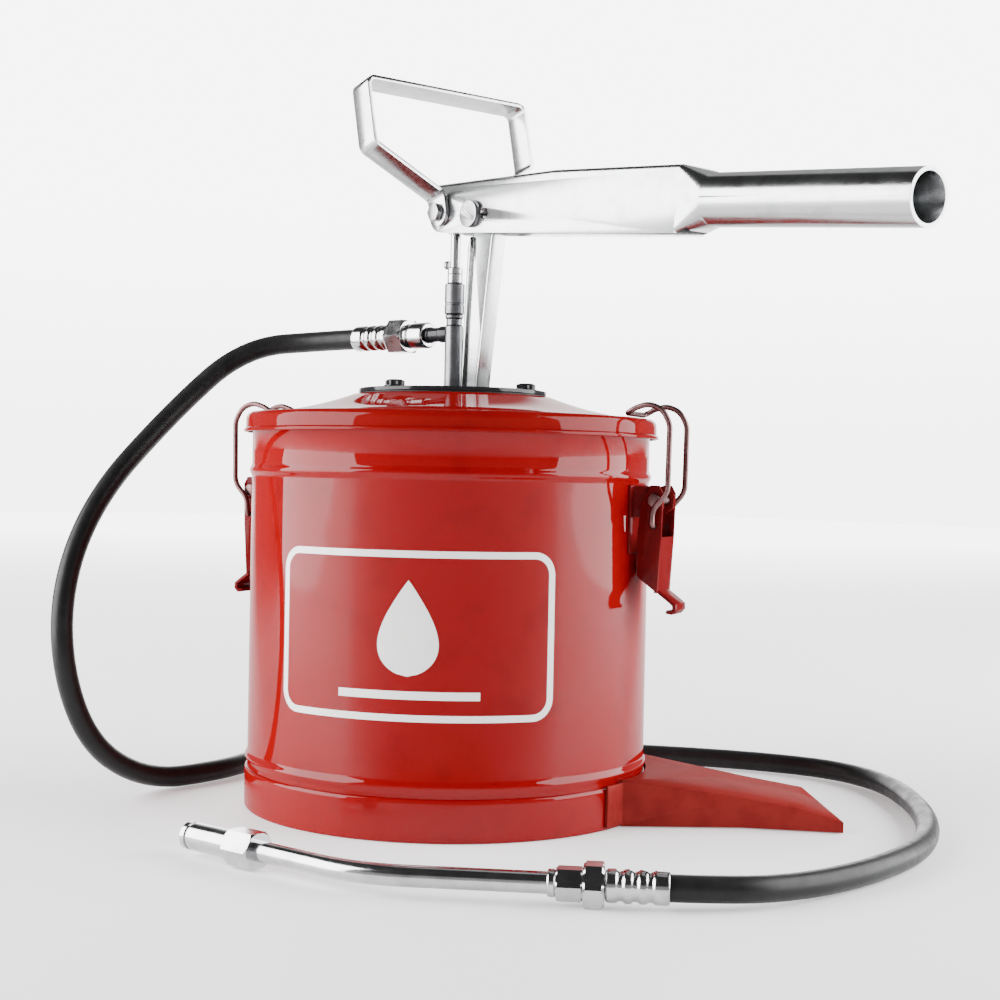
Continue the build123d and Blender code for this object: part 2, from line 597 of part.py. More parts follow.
def main():
    os.makedirs("parts", exist_ok=True)
    nodes = {
        "pail_shell": pail_shell(),
        "pail_base": pail_base(),
        "foot_pedal": foot_pedal(),
        "lid": lid(),
        "lid_gasket": turned([(118.6, RIM_Z + 0.05), (122.6, RIM_Z + 0.05), (122.6, 231.2), (120.5, 233.4),
                              (118.6, 233.6)]),
        "flange_gasket": flange(PLATE_R - 0.5, LID_TOP_Z + 0.02, LID_TOP_Z + GASKET_T - 0.02, 15.0),
        "flange_plate": flange(PLATE_R, LID_TOP_Z + GASKET_T, PLATE_Z, RISER_R + 0.05),
        "flange_bolts": group([flange_bolt(*place) for place in bolt_places()]),
        "flange_nuts": group([flange_nut(*place) for place in bolt_places()]),
        "barrel_head": barrel_head(),
        "barrel_tube": barrel_tube(),
        "foot_valve_body": foot_valve(),
        "foot_valve_ball": Pos(0, 0, 28.03) * Sphere(4.0),
        "foot_valve_spring": coil(2.6, 0.45, 31.9, 40.9, 4),
        "spring_cross_pin": bar((-BARREL_R + 0.1, 0, SPRING_PIN_Z), (BARREL_R - 0.1, 0, SPRING_PIN_Z), 0.9),
        "inlet_strainer": strainer(),
        "riser_tube": riser(),
        "gland_packing": ring(4.55, ROD_R + RUN, 297.5, 310.9),
        "gland_nut": gland_nut(),
        "gland_collar": ring(4.6, ROD_R + 0.35, 315.5, 325.0),
        "collar_screw": around(bar((4.7, 0, 327.0), (8.2, 0, 327.0), 2.6), OUTLET_AZIMUTH),
        "outlet_nipple": outlet_nipple(),
        "outlet_coupler": outlet_coupler(),
        "outlet_swivel_nut": outlet_swivel_nut(),
        "outlet_ferrule": ferrule(along_outlet(51.7), OUT_DIR, 32.0),
        "hose": hose(),
        "nozzle_ferrule": ferrule(from_mouth(30.0), PIPE_DIR),
        "nozzle_swivel_nut": nozzle_swivel_nut(),
        "nozzle_adapter": nozzle_adapter(),
        "nozzle_pipe": nozzle_pipe(),
        "coupler_nut": coupler_nut(),
        "coupler_body": coupler_body(),
        "coupler_jaws": coupler_jaws(),
        "coupler_seal": coupler_seal(),
        "post": post(),
        "pivot_bush": pivot_bush(),
        "lever_arm": lever_arm(),
        "lever_pin": lever_pin(),
        "lever_pin_ring": pin_ring(),
        "piston_rod": bar((0, 0, PISTON_Z + 16.6), (0, 0, ROD_EYE[1] - 4.6), ROD_R),
        "rod_eye": rod_eye(),
        "rod_bolt": rod_bolt(),
        "rod_bolt_nut": rod_nut(),
        "piston": piston(),
        "piston_ball": Pos(0, 0, PISTON_Z + 6.45) * Sphere(3.2),
        "piston_ring": ring(BARREL_BORE - RUN, 7.05, PISTON_Z + 3.05, PISTON_Z + 6.95),
        "carry_handle": carry_handle(),
        "latch_brackets": group([around(latch_bracket(), a) for a in LATCH_AZIMUTHS.values()]),
        "latch_pins": group([around(latch_pin(), a) for a in LATCH_AZIMUTHS.values()]),
    }
    for name, azimuth in LATCH_AZIMUTHS.items():
        nodes[f"latch_toggle_{name}"] = around(toggle(), azimuth)
        nodes[f"latch_bail_{name}"] = around(bail(), azimuth)
    for name, shape in nodes.items():
        export_step(shape, f"parts/{name}.step")
    print(len(nodes), "nodes")


main()
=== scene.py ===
"""Looks for the lever bucket pump: enamelled pail, zinc lever and loop, chrome fittings, rubber hose."""
import json
from math import atan2, cos, hypot, pi, radians, sin, tan

import bmesh
import bpy
from mathutils import Matrix, Vector


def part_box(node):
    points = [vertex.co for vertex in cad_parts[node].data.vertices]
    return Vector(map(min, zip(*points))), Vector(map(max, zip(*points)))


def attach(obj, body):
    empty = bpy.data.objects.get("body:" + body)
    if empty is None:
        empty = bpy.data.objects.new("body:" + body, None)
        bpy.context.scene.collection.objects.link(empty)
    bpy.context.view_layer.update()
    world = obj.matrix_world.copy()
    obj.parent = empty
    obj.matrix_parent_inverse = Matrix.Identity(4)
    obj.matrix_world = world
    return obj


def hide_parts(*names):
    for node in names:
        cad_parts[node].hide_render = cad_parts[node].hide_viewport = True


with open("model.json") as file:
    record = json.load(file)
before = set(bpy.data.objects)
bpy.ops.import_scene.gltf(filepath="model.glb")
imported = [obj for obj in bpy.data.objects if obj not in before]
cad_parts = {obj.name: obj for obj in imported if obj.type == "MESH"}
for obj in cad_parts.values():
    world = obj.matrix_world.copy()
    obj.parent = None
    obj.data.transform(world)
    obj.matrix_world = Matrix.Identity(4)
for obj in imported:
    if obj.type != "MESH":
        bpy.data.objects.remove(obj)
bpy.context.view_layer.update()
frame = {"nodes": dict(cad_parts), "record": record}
nodes = frame["nodes"]
MM = 0.001

# ---------------------------------------------------------------- places, from the frame
PAIL_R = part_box("pail_base")[1].x - 0.0015            # outside of the wall, inside the base band
RIM_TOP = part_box("pail_shell")[1].z
LID_LOW, LID_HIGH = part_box("lid")[0].z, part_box("lid")[1].z
PLATE_LOW, PLATE_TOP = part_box("flange_plate")[0].z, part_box("flange_plate")[1].z
PLATE_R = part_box("flange_plate")[1].x
OUTLET_AZIMUTH = radians(190)
OUTLET_Z = (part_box("outlet_swivel_nut")[0].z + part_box("outlet_swivel_nut")[1].z) / 2
HOSE_R = 0.0065
UP = Vector((0, 0, 1))

# ---------------------------------------------------------------- camera
VIEW_TURN = radians(53)            # from the camera's own frame to the row frame
LENS_MM, SENSOR_MM = 60.31, 36
CAMERA_DISTANCE, CAMERA_HEIGHT = 1.021, 0.1997
CAMERA_YAW, CAMERA_PITCH, CAMERA_ROLL = 0.0294, 0.0149, 0.0198


def make_camera():
    flat = cos(CAMERA_PITCH)
    forward = Vector((sin(CAMERA_YAW) * flat, cos(CAMERA_YAW) * flat, -sin(CAMERA_PITCH)))
    level = Vector((cos(CAMERA_YAW), -sin(CAMERA_YAW), 0))
    above = level.cross(forward)
    right = level * cos(CAMERA_ROLL) + above * sin(CAMERA_ROLL)
    up = above * cos(CAMERA_ROLL) - level * sin(CAMERA_ROLL)
    pose = Matrix((right, up, -forward)).transposed().to_4x4()
    pose.translation = Vector((0, -CAMERA_DISTANCE, CAMERA_HEIGHT))
    camera = bpy.data.objects.new("camera", bpy.data.cameras.new("camera"))
    camera.data.sensor_width = SENSOR_MM
    camera.data.lens = LENS_MM
    camera.matrix_world = Matrix.Rotation(VIEW_TURN, 4, "Z") @ pose
    bpy.context.scene.collection.objects.link(camera)
    bpy.context.scene.camera = camera


make_camera()


# ---------------------------------------------------------------- materials
def new_material(name):
    material = bpy.data.materials.new(name)
    material.use_nodes = True
    tree = material.node_tree
    return material, tree, tree.nodes["Principled BSDF"]


def noise(tree, scale, detail, roughness):
    """Noise in object space, which is the row frame."""
    place = tree.nodes.new("ShaderNodeTexCoord")
    pattern = tree.nodes.new("ShaderNodeTexNoise")
    pattern.inputs["Scale"].default_value = scale
    pattern.inputs["Detail"].default_value = detail
    pattern.inputs["Roughness"].default_value = roughness
    tree.links.new(place.outputs["Object"], pattern.inputs["Vector"])
    return pattern.outputs["Fac"]


def spread(tree, source, low, high, start=0.3, end=0.7):
    """Source from start to end becomes low to high."""
    node = tree.nodes.new("ShaderNodeMapRange")
    node.inputs["From Min"].default_value = start
    node.inputs["From Max"].default_value = end
    node.inputs["To Min"].default_value = low
    node.inputs["To Max"].default_value = high
    tree.links.new(source, node.inputs["Value"])
    return node.outputs["Result"]


def tint(tree, source, stops):
    ramp = tree.nodes.new("ShaderNodeValToRGB")
    elements = ramp.color_ramp.elements
    while len(elements) < len(stops):
        elements.new(0.5)
    for element, (place, colour) in zip(elements, stops):
        element.position = place
        element.color = (*colour, 1)
    tree.links.new(source, ramp.inputs["Fac"])
    return ramp.outputs["Color"]


def bump(tree, height, strength, distance):
    node = tree.nodes.new("ShaderNodeBump")
    node.inputs["Strength"].default_value = strength
    node.inputs["Distance"].default_value = distance
    tree.links.new(height, node.inputs["Height"])
    return node.outputs["Normal"]


def enamel(name, base, worn, coat, roughness=0.34, coat_roughness=0.035):
    """Glossy paint: faint mottling, orange peel, and duller patches where it has been handled."""
    material, tree, shader = new_material(name)
    shader.inputs["Coat Weight"].default_value = coat
    shader.inputs["Coat Roughness"].default_value = coat_roughness
    shader.inputs["Coat IOR"].default_value = 1.5
    shader.inputs["Specular IOR Level"].default_value = 0.0
    mottled = tint(tree, noise(tree, 38, 5, 0.6), [(0.30, worn), (0.48, base), (0.75, base)])
    tree.links.new(mottled, shader.inputs["Base Color"])
    handled = spread(tree, noise(tree, 90, 6, 0.7), roughness - 0.06, roughness + 0.12)
    tree.links.new(handled, shader.inputs["Roughness"])
    peel = bump(tree, noise(tree, 620, 2, 0.5), 0.05, 0.0004)
    tree.links.new(peel, shader.inputs["Normal"])
    dents = noise(tree, 17, 1, 0.4)
    tree.links.new(bump(tree, dents, 0.10, 0.0022), shader.inputs["Coat Normal"])
    return material


def metal(name, base, shade, roughness, grain_strength=0.04, patches=26):
    """Metal: brushed or plated grain, patchy roughness and slight colour change."""
    material, tree, shader = new_material(name)
    shader.inputs["Metallic"].default_value = 1.0
    colour = tint(tree, noise(tree, patches, 5, 0.6), [(0.30, shade), (0.55, base), (0.80, base)])
    tree.links.new(colour, shader.inputs["Base Color"])
    rough = spread(tree, noise(tree, patches * 2.3, 6, 0.65), roughness * 0.75, roughness * 1.35)
    tree.links.new(rough, shader.inputs["Roughness"])
    fine = noise(tree, 260, 4, 0.6)
    tree.links.new(bump(tree, fine, grain_strength, 0.0003), shader.inputs["Normal"])
    return material


def plated_sheet(name, base, shade, roughness):
    """Bright zinc: crystals of slightly different tone over a drawn grain."""
    material, tree, shader = new_material(name)
    shader.inputs["Metallic"].default_value = 1.0
    place = tree.nodes.new("ShaderNodeTexCoord")
    crystals = tree.nodes.new("ShaderNodeTexVoronoi")
    crystals.inputs["Scale"].default_value = 210
    tree.links.new(place.outputs["Object"], crystals.inputs["Vector"])
    tone = tree.nodes.new("ShaderNodeSeparateColor")
    tree.links.new(crystals.outputs["Color"], tone.inputs["Color"])
    blend = tree.nodes.new("ShaderNodeMath")
    blend.operation = "ADD"
    tree.links.new(spread(tree, tone.outputs["Red"], 0, 0.35, 0, 1), blend.inputs[0])
    tree.links.new(spread(tree, noise(tree, 30, 5, 0.6), 0.1, 0.75), blend.inputs[1])
    colour = tint(tree, blend.outputs[0], [(0.10, shade), (0.60, base), (1.0, base)])
    tree.links.new(colour, shader.inputs["Base Color"])
    rough = spread(tree, blend.outputs[0], roughness * 1.35, roughness * 0.8, 0.1, 1.0)
    tree.links.new(rough, shader.inputs["Roughness"])
    tree.links.new(bump(tree, noise(tree, 420, 3, 0.6), 0.05, 0.0003), shader.inputs["Normal"])
    return material


def rubber(name, base, dusty, roughness):
    """Black rubber: dusty patches, uneven gloss and a fine moulded grain."""
    material, tree, shader = new_material(name)
    shader.inputs["Specular IOR Level"].default_value = 0.16
    shader.inputs["Sheen Weight"].default_value = 0.04
    shader.inputs["Sheen Roughness"].default_value = 0.4
    colour = tint(tree, noise(tree, 60, 6, 0.7), [(0.35, base), (0.85, dusty)])
    tree.links.new(colour, shader.inputs["Base Color"])
    rough = spread(tree, noise(tree, 130, 5, 0.7), roughness - 0.07, roughness + 0.13)
    tree.links.new(rough, shader.inputs["Roughness"])
    tree.links.new(bump(tree, noise(tree, 900, 3, 0.6), 0.10, 0.0003), shader.inputs["Normal"])
    return material


RED = enamel("red_enamel", (0.20, 0.0012, 0.0025), (0.17, 0.0010, 0.0022), coat=0.42)
LID_RED = enamel("lid_enamel", (0.18, 0.0040, 0.0045), (0.15, 0.0030, 0.0040), coat=0.26)
STEP_RED = enamel("step_enamel", (0.21, 0.020, 0.018), (0.16, 0.014, 0.013), coat=0.03, roughness=0.5,
                  coat_roughness=0.12)
LATCH_RED = enamel("latch_enamel", (0.12, 0.006, 0.007), (0.08, 0.005, 0.006), coat=0.12, roughness=0.42,
                   coat_roughness=0.10)
PRINT = enamel("white_print", (0.86, 0.85, 0.84), (0.80, 0.78, 0.77), coat=0.8, roughness=0.40,
               coat_roughness=0.06)
BLACK = enamel("black_enamel", (0.012, 0.012, 0.014), (0.020, 0.020, 0.022), coat=0.5, roughness=0.40,
               coat_roughness=0.12)
WIRE = metal("latch_wire", (0.16, 0.085, 0.085), (0.08, 0.035, 0.035), 0.34, patches=60)
ZINC = plated_sheet("bright_zinc", (0.46, 0.465, 0.47), (0.36, 0.365, 0.37), 0.20)
FASTENER = plated_sheet("fastener_zinc", (0.30, 0.30, 0.31), (0.20, 0.20, 0.21), 0.32)
CHROME = metal("chrome", (0.50, 0.50, 0.51), (0.38, 0.38, 0.39), 0.15, patches=70, grain_strength=0.02)
DARK = metal("dark_steel", (0.20, 0.20, 0.21), (0.11, 0.11, 0.12), 0.30, grain_strength=0.06)
STEEL = metal("machined_steel", (0.62, 0.62, 0.64), (0.42, 0.42, 0.44), 0.26)
BRASS = metal("machined_brass", (0.78, 0.58, 0.26), (0.58, 0.40, 0.18), 0.24)
HOSE = rubber("hose_rubber", (0.007, 0.007, 0.0075), (0.014, 0.014, 0.0145), roughness=0.36)
SEAL = rubber("seal_rubber", (0.016, 0.016, 0.017), (0.035, 0.035, 0.035), roughness=0.5)

SLOT_LOOKS = {
    "red_paint": RED, "latch_paint": LATCH_RED, "latch_wire": WIRE,
    "black_steel": BLACK, "dark_steel": DARK,
    "bright_zinc": ZINC, "zinc_fasteners": FASTENER, "chrome": CHROME,
    "valve_steel": STEEL, "valve_brass": BRASS,
    "hose_rubber": HOSE, "seal_rubber": SEAL}
NODE_SLOT = {s["node"]: s["material_slot"] for s in frame["record"]["subparts"]}
NODE_BODY = {n: body for body, names in frame["record"]["behaviour"]["bodies"].items() for n in names}
for node_name, node in nodes.items():
    node.data.materials.clear()
    node.data.materials.append(SLOT_LOOKS[NODE_SLOT[node_name]])


# ---------------------------------------------------------------- mesh helpers
def finish_piece(piece, body, look, replaced=(), sharp=32):
    for polygon in piece.data.polygons:
        polygon.use_smooth = True
    piece.data.set_sharp_from_angle(angle=radians(sharp))
    piece.data.materials.clear()
    piece.data.materials.append(look)
    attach(piece, body)
    if replaced:
        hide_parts(*replaced)
    return piece


def piece_from(name, vertices, faces, body, look, replaced=(), sharp=32):
    mesh = bpy.data.meshes.new(name)
    mesh.from_pydata([tuple(v) for v in vertices], [], faces)
    build = bmesh.new()
    build.from_mesh(mesh)
    bmesh.ops.remove_doubles(build, verts=build.verts, dist=1e-6)
    bmesh.ops.recalc_face_normals(build, faces=build.faces)
    build.to_mesh(mesh)
    build.free()
    piece = bpy.data.objects.new(name, mesh)
    bpy.context.scene.collection.objects.link(piece)
    return finish_piece(piece, body, look, replaced, sharp)


def softened(points, radius, steps=3):
    """Rounds each corner of a closed outline of 2-D points."""
    count = len(points)
    out = []
    for i, here in enumerate(points):
        before, after = Vector(points[i - 1]), Vector(points[(i + 1) % count])
        here = Vector(here)
        reach = min(radius, (before - here).length * 0.45, (after - here).length * 0.45)
        a = here + (before - here).normalized() * reach
        b = here + (after - here).normalized() * reach
        for k in range(steps + 1):
            t = k / steps
            out.append(tuple(a * (1 - t) ** 2 + here * (2 * t * (1 - t)) + b * t ** 2))
    return out


def side_axes(direction):
    """Two unit vectors across a direction; the first is level where it can be."""
    across = UP.cross(direction)
    if across.length < 0.01:
        across = Vector((1, 0, 0))
    across.normalize()
    return across, direction.cross(across).normalized()


def revolved(outline, origin, direction, segments, flats=None, phase=0.0):
    """Closed outline of (along, radius) turned about a line; flats, half across them, cuts a hexagon."""
    origin, direction = Vector(origin), Vector(direction).normalized()
    across, above = side_axes(direction)
    vertices, faces = [], []
    count = len(outline)
    for s in range(segments):
        turn = 2 * pi * s / segments
        limit = 1e9
        if flats:
            local = (turn - phase + pi / 6) % (pi / 3) - pi / 6
            limit = flats / cos(local)
        spoke = across * cos(turn) + above * sin(turn)
        for along, radius in outline:
            vertices.append(origin + direction * along + spoke * min(radius, limit))
    for s in range(segments):
        after = (s + 1) % segments
        for i in range(count):
            j = (i + 1) % count
            faces.append((s * count + i, s * count + j, after * count + j, after * count + i))
    return vertices, faces


def turned_piece(name, outline, body, look, replaced=(), origin=(0, 0, 0), direction=(0, 0, 1),
                 segments=72, flats=None, edge=0.0, sharp=32, phase=0.0):
    """A turned piece from an outline of (along, radius) in metres, with its corners eased by edge."""
    outline = softened(outline, edge) if edge else outline
    vertices, faces = revolved(outline, origin, direction, segments, flats, phase)
    return piece_from(name, vertices, faces, body, look, replaced, sharp)


def hexagon(name, start, end, half_flats, bore, body, look, replaced=()):
    """Hexagon nut with chamfered ends, bored through."""
    start, end = Vector(start), Vector(end)
    axis = end - start
    length = axis.length
    corner = half_flats / cos(pi / 6)
    lead = (corner - half_flats) * 0.75
    face = half_flats * 0.97
    outline = [(0, bore), (0, face), (lead, corner + 0.0001), (length - lead, corner + 0.0001),
               (length, face), (length, bore)]
    return turned_piece(name, softened(outline, 0.0002, 1), body, look, replaced, start, axis, 144,
                        flats=half_flats, sharp=24, phase=pi / 2)


def bent_wire(name, points, radius, body, look, replaced=(), steps=16):
    """Round wire along a line of points, its section carried on without twist."""
    points = [Vector(point) for point in points]
    side = side_axes((points[1] - points[0]).normalized())[0]
    vertices, faces = [], []
    for i, here in enumerate(points):
        along = (points[min(i + 1, len(points) - 1)] - points[max(i - 1, 0)]).normalized()
        side = (side - along * side.dot(along)).normalized()
        lift = along.cross(side)
        for k in range(steps):
            turn = 2 * pi * k / steps
            vertices.append(here + side * (radius * cos(turn)) + lift * (radius * sin(turn)))
    for i in range(len(points) - 1):
        for j in range(steps):
            k = (j + 1) % steps
            faces.append((i * steps + j, i * steps + k, (i + 1) * steps + k, (i + 1) * steps + j))
    faces.append(tuple(range(steps - 1, -1, -1)))
    last = (len(points) - 1) * steps
    faces.append(tuple(range(last, last + steps)))
    return piece_from(name, vertices, faces, body, look, replaced, 60)


def arc_line(points, radius, steps=8):
    """Straight runs with rounded corners through a list of 3-D points."""
    out = [Vector(points[0])]
    for before, here, after in zip(points, points[1:], points[2:]):
        before, here, after = Vector(before), Vector(here), Vector(after)
        inward, outward = (here - before).normalized(), (after - here).normalized()
        turn = inward.angle(outward)
        if turn < 0.01:
            continue
        reach = min(radius * tan(turn / 2), (here - before).length * 0.48, (after - here).length * 0.48)
        size = reach / tan(turn / 2)
        start = here - inward * reach
        bend = (outward - inward * outward.dot(inward)).normalized()
        for k in range(steps + 1):
            angle = turn * k / steps
            out.append(start + inward * (size * sin(angle)) + bend * (size * (1 - cos(angle))))
    out.append(Vector(points[-1]))
    return out


FOLD_R = 0.0028                    # outside of the fold along the lever's back
CHANNEL_END_X = 0.10               # short of the lever's neck
LEAST_FOLD = 0.03


def lever_folds(build):
    """The two long edges along the lever's back, where its sheet is folded down."""
    half = max(v.co.y for v in build.verts if v.co.x < CHANNEL_END_X)
    folds = []
    for edge in build.edges:
        a, b = (v.co for v in edge.verts)
        along = b - a
        outermost = min(abs(a.y), abs(b.y)) > half - 0.0002 and abs(along.y) < 0.0001
        looks_up = any(face.normal.z > 0.9 for face in edge.link_faces)
        if outermost and looks_up and along.length > LEAST_FOLD:
            folds.append(edge)
    return folds


def eased_copy(node_name, width, segments=2, sharp=34, look=None):
    """Finer stand-in for a CAD node: welded, its flats joined, and its sharp edges rounded by width."""
    mesh = nodes[node_name].data.copy()
    build = bmesh.new()
    build.from_mesh(mesh)
    bmesh.ops.remove_doubles(build, verts=build.verts, dist=2e-6)
    bmesh.ops.dissolve_limit(build, angle_limit=radians(0.6), verts=build.verts, edges=build.edges)
    if node_name == "lever_arm":
        folds = lever_folds(build)
        bmesh.ops.bevel(build, geom=folds, offset=FOLD_R, segments=5, profile=0.5, affect="EDGES")
    build.to_mesh(mesh)
    build.free()
    piece = bpy.data.objects.new(f"{node_name}_finished", mesh)
    bpy.context.scene.collection.objects.link(piece)
    bevel = piece.modifiers.new("ease", "BEVEL")
    bevel.width = width
    bevel.segments = segments
    bevel.limit_method = "ANGLE"
    bevel.angle_limit = radians(38)
    bevel.use_clamp_overlap = True
    graph = bpy.context.evaluated_depsgraph_get()
    final = bpy.data.meshes.new_from_object(piece.evaluated_get(graph))
    piece.modifiers.clear()
    piece.data = final
    slot = NODE_SLOT[node_name]
    return finish_piece(piece, NODE_BODY[node_name], look or SLOT_LOOKS[slot], (node_name,), sharp)


# ---------------------------------------------------------------- hose
HOSE_ROUTE_MM = [
    (-57.1, -10.1, 285.0), (-111.3, -19.6, 285.0), (-146.3, -61.3, 280.0), (-156.2, -107.6, 236.0),
    (-134.0, -174.5, 176.0), (-109.7, -205.3, 110.0), (-111.4, -187.7, 40.0), (-123.1, -140.1, 7.0),
    (-130.8, -80.5, 7.0), (-162.9, -30.0, 7.0), (-168.3, 29.2, 7.0), (-141.4, 91.5, 7.0),
    (-83.7, 150.0, 7.0), (-22.0, 205.0, 7.0), (28.0, 240.0, 7.0), (80.0, 262.0, 7.0),
    (130.0, 254.0, 7.0), (183.0, 217.0, 7.0), (233.0, 168.0, 7.0), (270.0, 112.0, 7.0),
    (287.0, 52.0, 7.0), (289.0, -2.0, 7.0), (283.3, -49.9, 10.3), (249.2, -83.7, 10.3)]
OUT = Vector((cos(OUTLET_AZIMUTH), sin(OUTLET_AZIMUTH), 0))


def make_hose():
    curve = bpy.data.curves.new("hose_line", "CURVE")
    curve.dimensions = "3D"
    spline = curve.splines.new("NURBS")
    spline.points.add(len(HOSE_ROUTE_MM) - 1)
    for point, (x, y, z) in zip(spline.points, HOSE_ROUTE_MM):
        point.co = (x * MM, y * MM, z * MM, 1)
    spline.order_u = 3
    spline.use_endpoint_u = True
    spline.resolution_u = 24
    curve.bevel_depth = HOSE_R
    curve.bevel_resolution = 8
    curve.use_fill_caps = True
    curve.materials.append(HOSE)
    hose = bpy.data.objects.new("discharge_hose", curve)
    bpy.context.scene.collection.objects.link(hose)
    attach(hose, "pail")
    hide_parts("hose")
    return hose


hose = make_hose()

# ---------------------------------------------------------------- hose fittings
PIPE_BEND = Vector((159.6, -172.6, 10.3)) * MM
HOSE_END = Vector(HOSE_ROUTE_MM[-1]) * MM
PIPE_DIR = (HOSE_END - PIPE_BEND).normalized()
MOUTH = HOSE_END + PIPE_DIR * 0.022            # where the hose leaves its ferrule
NUT_HALF, NUT_BORE = 0.010, 0.0034
ADAPTER_HALF, ADAPTER_BORE = 0.0075, 0.0019


def out_at(distance_mm):
    return OUT * (distance_mm * MM) + UP * OUTLET_Z


def from_mouth(distance_mm):
    return MOUTH - PIPE_DIR * (distance_mm * MM)


def crimped_ferrule(name, start, direction, length, node):
    """Sleeve with three pressed rings, its mouth rolled a little over the hose; sizes in mm."""
    over_hose = HOSE_R / MM + 0.03
    outline = [(0.0, 3.4), (0.0, 7.0), (0.9, 7.9), (4.6, 8.0)]
    for d in (6.0, 13.0, 20.0):
        outline += [(d - 1.1, 8.0), (d + 0.2, 6.95), (d + 1.9, 6.95), (d + 3.2, 8.0)]
    outline += [(length - 1.6, 8.0), (length - 0.5, 7.8), (length, 7.2), (length, over_hose),
                (length - 27.0, over_hose), (length - 27.0, 3.4)]
    outline = [(a * MM, r * MM) for a, r in outline]
    return turned_piece(name, outline, "pail", CHROME, (node,), start, direction, 80,
                        edge=0.0009, sharp=40)


def chrome_hexagon(name, start, end, half_flats, bore, node):
    return hexagon(name, start, end, half_flats, bore, "pail", CHROME, (node,))


ferrule_a = crimped_ferrule("outlet_ferrule_crimped", out_at(51.7), OUT, 32.0, "outlet_ferrule")
ferrule_b = crimped_ferrule("nozzle_ferrule_crimped", from_mouth(30.0), PIPE_DIR, 30.0, "nozzle_ferrule")
chrome_hexagon("outlet_swivel_nut_hex", out_at(37.0), out_at(51.6), NUT_HALF, NUT_BORE, "outlet_swivel_nut")
nut_b = chrome_hexagon("nozzle_swivel_nut_hex", from_mouth(40.2), from_mouth(30.2), NUT_HALF, NUT_BORE,
                       "nozzle_swivel_nut")
turned_piece(
    "outlet_coupler_stub",
    [(0, 0.0019), (0, 0.0070), (0.0009, 0.0080), (0.0118, 0.0080), (0.0126, 0.0073), (0.0146, 0.0073),
     (0.0159, 0.0078), (0.0159, 0.0019)],
    "pail", CHROME, ("outlet_coupler",), out_at(21.0), OUT, 72, edge=0.0004)
adapter_hex = chrome_hexagon("nozzle_adapter_hex", from_mouth(53.0), from_mouth(40.3), ADAPTER_HALF,
                             ADAPTER_BORE, "nozzle_adapter")
adapter_collar = turned_piece(
    "nozzle_adapter_collar",
    [(0, 0.0053), (0, 0.0060), (0.0008, 0.0066), (0.0032, 0.0066), (0.0040, 0.0060), (0.0040, 0.0053)],
    "pail", CHROME, (), from_mouth(57.0), PIPE_DIR, 64, edge=0.0002)


# ---------------------------------------------------------------- pail
BEAD_HEIGHT, BEAD_HALF = 0.0014, 0.0040
BEADS_Z = (0.030, 0.200)
SHEET = 0.0008


def bead(centre, steps=10):
    """Swaged bead: a smooth outward wave in (z, radius) points."""
    points = []
    for k in range(steps + 1):
        t = -1 + 2 * k / steps
        points.append((centre + t * BEAD_HALF, PAIL_R + BEAD_HEIGHT * (0.5 + 0.5 * cos(pi * t))))
    return points


def pail_wall():
    """Rolled wall with two beads and a curled rim."""
    outer = [(0.0095, PAIL_R)]
    for centre in BEADS_Z:
        outer += bead(centre)
    outer += [(RIM_TOP - 0.0042, PAIL_R)]
    curl_r = 0.0019
    curl_z, curl_middle = RIM_TOP - curl_r, PAIL_R + 0.0010
    turns = [radians(v) for v in range(-10, 260, 18)]
    curl = [(curl_z - curl_r * cos(a), curl_middle + curl_r * sin(a)) for a in turns]
    inner = [(z, r - SHEET) for z, r in reversed(outer)]
    return turned_piece("pail_wall_enamelled", outer + curl + inner, "pail", RED,
                        ("pail_shell",), segments=224, sharp=60)


def base_band():
    """Base pan and its standing band, as (z, distance outside the wall) in mm; None is the centre."""
    steps = [(7.6, None), (7.6, -7.0), (5.0, -2.5), (1.2, -2.5), (0.3, -1.9), (0.0, -0.8), (0.0, 0.0),
             (0.35, 1.1), (1.3, 1.5), (21.6, 1.5), (23.2, 1.3), (24.0, 0.6), (24.0, 0.05), (8.6, 0.05),
             (8.6, None)]
    outline = [(z * MM, 0.0 if past is None else PAIL_R + past * MM) for z, past in steps]
    return turned_piece("pail_base_pan", outline, "pail", RED, ("pail_base",), segments=224,
                        edge=0.0004, sharp=50)


def pail_lid():
    """Lid with a hemmed skirt, a rounded rim, a flat latch ring and a cone that curves up to the flange."""
    hem = [(0.0, 0.1246), (0.0002, 0.1251), (0.0010, 0.1253), (0.0019, 0.1250), (0.0026, 0.1241)]
    outer = [(LID_LOW + rise, radius) for rise, radius in hem]
    outer += [(0.2300, 0.1240), (0.2321, 0.1236), (0.2336, 0.1226), (0.2344, 0.1212), (0.2345, 0.1195),
              (0.2343, 0.1165), (0.2345, 0.1140)]
    cone_low, cone_r, flange_r, hole_r = 0.2347, 0.112, 0.060, 0.0150
    steps = 12
    for k in range(steps + 1):
        t = k / steps
        curve = 0.35 * t + 0.65 * t ** 1.9
        outer.append((cone_low + (LID_HIGH - cone_low) * curve, cone_r + (flange_r - cone_r) * t))
    outer += [(LID_HIGH, 0.0585), (LID_HIGH, hole_r)]
    inner = [(LID_HIGH - SHEET, hole_r)]
    inner += [(z - SHEET, r - 0.0001) for z, r in reversed(outer[8:-1])]
    inner += [(0.2310, 0.1232), (LID_LOW, 0.1232)]
    return turned_piece("lid_pressed", outer + inner, "pail", LID_RED, ("lid",), segments=224,
                        sharp=50)


pail_wall()
base_band()
pail_lid()
turned_piece("flange_plate_disc", [(PLATE_LOW, 0.00556), (PLATE_LOW, PLATE_R), (PLATE_TOP, PLATE_R),
                                   (PLATE_TOP, 0.00556)],
             "pail", BLACK, ("flange_plate",), segments=128, edge=0.0006)


